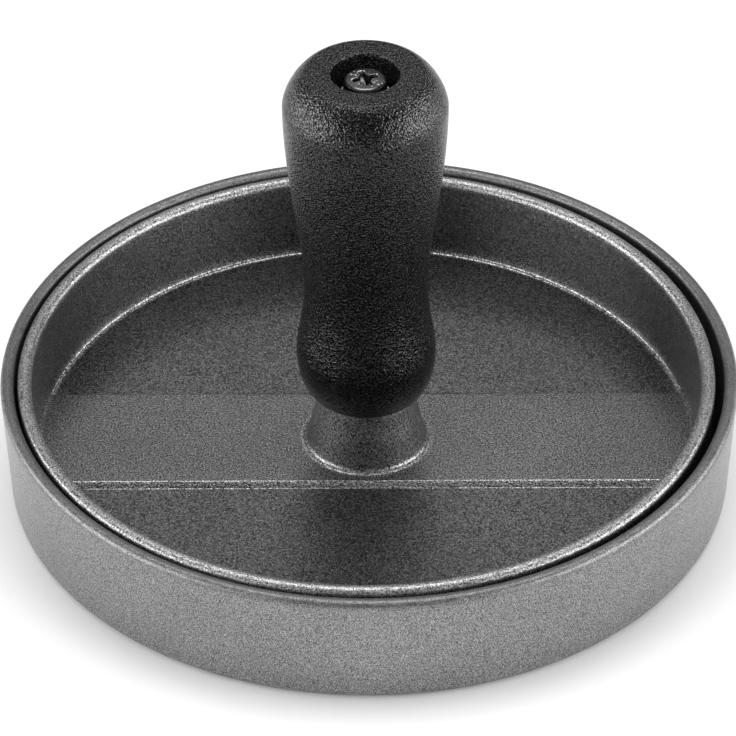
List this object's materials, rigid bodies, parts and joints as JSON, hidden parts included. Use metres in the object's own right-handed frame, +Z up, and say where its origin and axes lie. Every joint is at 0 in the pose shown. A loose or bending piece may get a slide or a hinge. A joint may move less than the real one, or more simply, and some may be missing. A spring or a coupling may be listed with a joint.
{
  "type": "patty press",
  "caption": "Hand press for forming burger patties: a round cast pan, a dished press plate that drops into it, and an upright contoured grip.",
  "frame": {"origin": "centre of the pan's underside, on the plane it stands on", "axes": "+Z up along the grip, +X along the stiffening bar of the press plate, the viewer's right when the pan is seen from the front (-Y)"},
  "size_m": [0.1202, 0.1202, 0.0779],
  "materials": {
    "pan_coating": "dark grey non-stick coating on cast aluminium, fine speckle, semi-matte",
    "plate_coating": "dark grey non-stick coating on cast aluminium, fine speckle, semi-matte",
    "grip_plastic": "black moulded plastic with a fine leather-like grain",
    "screw_steel": "zinc plated",
    "washer_steel": "zinc plated"
  },
  "bodies": {
    "pan": {"base_pan": "pan_coating"},
    "press": {"press_plate": "plate_coating", "grip": "grip_plastic", "grip_screw": "screw_steel", "spring_washer": "washer_steel", "flat_washer": "washer_steel"}
  },
  "joints": [
    {"name": "press_lift", "type": "slide", "parent": "pan", "child": "press", "axis": [0, 0, 1], "range_m": [0, 0.045]}
  ]
}
